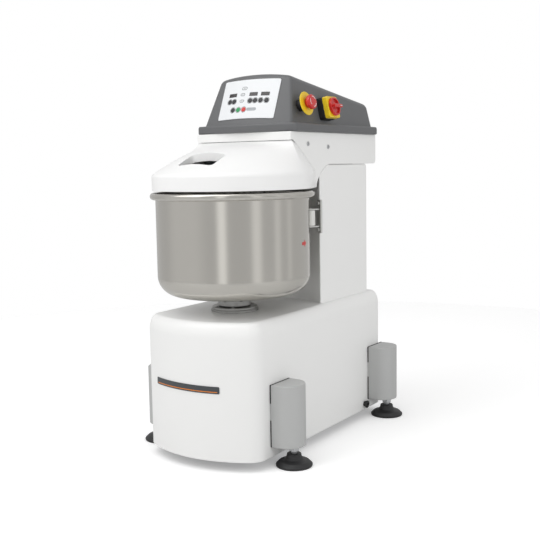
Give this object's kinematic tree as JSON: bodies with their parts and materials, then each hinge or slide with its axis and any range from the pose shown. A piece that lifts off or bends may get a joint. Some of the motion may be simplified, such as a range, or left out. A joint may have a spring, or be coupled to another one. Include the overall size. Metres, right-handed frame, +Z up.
{
  "type": "spiral dough mixer",
  "caption": "Free-standing spiral dough mixer: turning steel bowl, spiral hook, breaker bar, hinged white bowl guard, control head, column and base on levelling feet.",
  "frame": {"origin": "on the floor, under the middle of the machine's overall box", "axes": "+Z up, -Y towards the bowl and the person using it, +X to the side that carries the emergency stop and the main switch"},
  "size_m": [0.524, 0.7478, 0.99],
  "materials": {
    "white_paint": "gloss white coat",
    "white_guard": "gloss white moulding",
    "cover_grey": "satin anthracite moulding",
    "panel_film": "satin printed film",
    "display_black": "smoked window",
    "key_black": "satin",
    "key_green": "satin",
    "key_red": "satin",
    "board_green": "solder mask",
    "switch_black": "fine grain",
    "safety_yellow": "semi gloss",
    "safety_red": "semi gloss",
    "satin_steel": "satin brushed",
    "gasket_black": "matt",
    "foot_black": "satin moulding",
    "zinc_steel": "zinc plated",
    "gland_black": "satin",
    "badge_grey": "dark anodised",
    "bracket_steel": "satin",
    "roller_white": "smooth nylon",
    "bowl_steel": "spun satin stainless",
    "hub_steel": "machined",
    "shaft_steel": "ground",
    "pulley_iron": "machined",
    "motor_grey": "painted casting",
    "frame_paint": "grey primer",
    "belt_rubber": "matt"
  },
  "bodies": {
    "root": {"base_shell": "white_paint", "base_frame": "frame_paint", "column_shell": "white_paint", "column_frame": "frame_paint", "head_shell": "white_paint", "head_frame": "frame_paint", "top_cover": "cover_grey", "control_panel": "panel_film", "display_windows": "display_black", "circuit_board": "board_green", "e_stop_collar": "switch_black", "e_stop_ring": "safety_yellow", "switch_box": "switch_black", "switch_plate": "safety_yellow", "leg_front_right": "satin_steel", "leg_front_left": "satin_steel", "leg_rear_right": "satin_steel", "leg_rear_left": "satin_steel", "leg_gaskets": "gasket_black", "name_plate": "badge_grey", "cable_gland": "gland_black", "head_screws": "zinc_steel", "roller_brackets": "bracket_steel", "bowl_bearing_housing": "hub_steel", "bowl_motor": "motor_grey", "spiral_bearing_housing": "hub_steel", "spiral_motor": "motor_grey", "drive_belts": "belt_rubber", "breaker_bar": "bowl_steel"},
    "bowl": {"bowl": "bowl_steel", "bowl_hub": "hub_steel", "bowl_shaft": "shaft_steel", "bowl_pulley": "pulley_iron"},
    "bowl_motor_rotor": {"bowl_motor_pulley": "shaft_steel"},
    "spiral": {"spiral_hook": "bowl_steel", "spiral_shaft": "shaft_steel", "spiral_pulley": "pulley_iron"},
    "spiral_motor_rotor": {"spiral_motor_pulley": "shaft_steel"},
    "lid": {"lid": "white_guard"},
    "e_stop_button": {"e_stop_button": "safety_red"},
    "switch_knob": {"switch_knob": "safety_red"},
    "roller_right": {"roller_right": "roller_white"},
    "roller_left": {"roller_left": "roller_white"},
    "key_speed_1": {"key_speed_1": "key_black"},
    "key_speed_2": {"key_speed_2": "key_black"},
    "key_timer_up": {"key_timer_up": "key_black"},
    "key_timer_down": {"key_timer_down": "key_black"},
    "key_bowl_left": {"key_bowl_left": "key_black"},
    "key_bowl_right": {"key_bowl_right": "key_black"},
    "key_light": {"key_light": "key_black"},
    "key_start": {"key_start": "key_green"},
    "key_stop": {"key_stop": "key_red"},
    "foot_front_right": {"foot_pad_front_right": "foot_black", "foot_stem_front_right": "zinc_steel"},
    "foot_front_left": {"foot_pad_front_left": "foot_black", "foot_stem_front_left": "zinc_steel"},
    "foot_rear_right": {"foot_pad_rear_right": "foot_black", "foot_stem_rear_right": "zinc_steel"},
    "foot_rear_left": {"foot_pad_rear_left": "foot_black", "foot_stem_rear_left": "zinc_steel"}
  },
  "joints": [
    {"name": "bowl_spin", "type": "hinge", "parent": "root", "child": "bowl", "pos_m": [0, -0.16, 0.4], "axis": [0, 0, 1], "continuous": true},
    {"name": "bowl_motor_spin", "type": "hinge", "parent": "root", "child": "bowl_motor_rotor", "pos_m": [0, 0.203, 0.21], "axis": [0, 0, 1], "continuous": true},
    {"name": "spiral_spin", "type": "hinge", "parent": "root", "child": "spiral", "pos_m": [0, -0.06, 0.7], "axis": [0, 0, 1], "continuous": true},
    {"name": "spiral_motor_spin", "type": "hinge", "parent": "root", "child": "spiral_motor_rotor", "pos_m": [0, 0.203, 0.76], "axis": [0, 0, 1], "continuous": true},
    {"name": "lid_hinge", "type": "hinge", "parent": "root", "child": "lid", "pos_m": [0, -0.117, 0.7965], "axis": [-1, 0, 0], "range_deg": [0, 60]},
    {"name": "e_stop_press", "type": "slide", "parent": "root", "child": "e_stop_button", "axis": [-0.977, 0, -0.213], "range_m": [0, 0.004], "stiffness_N_per_m": 900},
    {"name": "switch_turn", "type": "hinge", "parent": "root", "child": "switch_knob", "pos_m": [0.16059, 0.09, 0.90139], "axis": [0.977, 0, 0.213], "range_deg": [0, 90]},
    {"name": "key_speed_1_press", "type": "slide", "parent": "root", "child": "key_speed_1", "axis": [0.111, 0.9182, -0.3803], "range_m": [0, 0.0008], "stiffness_N_per_m": 200},
    {"name": "key_speed_2_press", "type": "slide", "parent": "root", "child": "key_speed_2", "axis": [0.0833, 0.9207, -0.3814], "range_m": [0, 0.0008], "stiffness_N_per_m": 200},
    {"name": "key_timer_up_press", "type": "slide", "parent": "root", "child": "key_timer_up", "axis": [-0.0159, 0.9238, -0.3826], "range_m": [0, 0.0008], "stiffness_N_per_m": 200},
    {"name": "key_timer_down_press", "type": "slide", "parent": "root", "child": "key_timer_down", "axis": [-0.0454, 0.9229, -0.3823], "range_m": [0, 0.0008], "stiffness_N_per_m": 200},
    {"name": "key_bowl_left_press", "type": "slide", "parent": "root", "child": "key_bowl_left", "axis": [-0.0779, 0.9211, -0.3815], "range_m": [0, 0.0008], "stiffness_N_per_m": 200},
    {"name": "key_bowl_right_press", "type": "slide", "parent": "root", "child": "key_bowl_right", "axis": [-0.1117, 0.9181, -0.3803], "range_m": [0, 0.0008], "stiffness_N_per_m": 200},
    {"name": "key_light_press", "type": "slide", "parent": "root", "child": "key_light", "axis": [0.0799, 0.9209, -0.3815], "range_m": [0, 0.0008], "stiffness_N_per_m": 200},
    {"name": "key_start_press", "type": "slide", "parent": "root", "child": "key_start", "axis": [0.0461, 0.9229, -0.3823], "range_m": [0, 0.0008], "stiffness_N_per_m": 200},
    {"name": "key_stop_press", "type": "slide", "parent": "root", "child": "key_stop", "axis": [0.0122, 0.9238, -0.3827], "range_m": [0, 0.0008], "stiffness_N_per_m": 200},
    {"name": "foot_front_right_height", "type": "slide", "parent": "root", "child": "foot_front_right", "axis": [0, 0, -1], "range_m": [0, 0.02]},
    {"name": "foot_front_left_height", "type": "slide", "parent": "root", "child": "foot_front_left", "axis": [0, 0, -1], "range_m": [0, 0.02]},
    {"name": "foot_rear_right_height", "type": "slide", "parent": "root", "child": "foot_rear_right", "axis": [0, 0, -1], "range_m": [0, 0.02]},
    {"name": "foot_rear_left_height", "type": "slide", "parent": "root", "child": "foot_rear_left", "axis": [0, 0, -1], "range_m": [0, 0.02]},
    {"name": "roller_right_spin", "type": "hinge", "parent": "root", "child": "roller_right", "pos_m": [0.13756, 0.00393, 0.605], "axis": [0, 0, 1], "continuous": true},
    {"name": "roller_left_spin", "type": "hinge", "parent": "root", "child": "roller_left", "pos_m": [-0.13756, 0.00393, 0.605], "axis": [0, 0, 1], "continuous": true}
  ],
  "couplings": [
    {"joint": "bowl_motor_spin", "follows": "bowl_spin", "ratio": 3.7143},
    {"joint": "spiral_motor_spin", "follows": "spiral_spin", "ratio": 3}
  ]
}
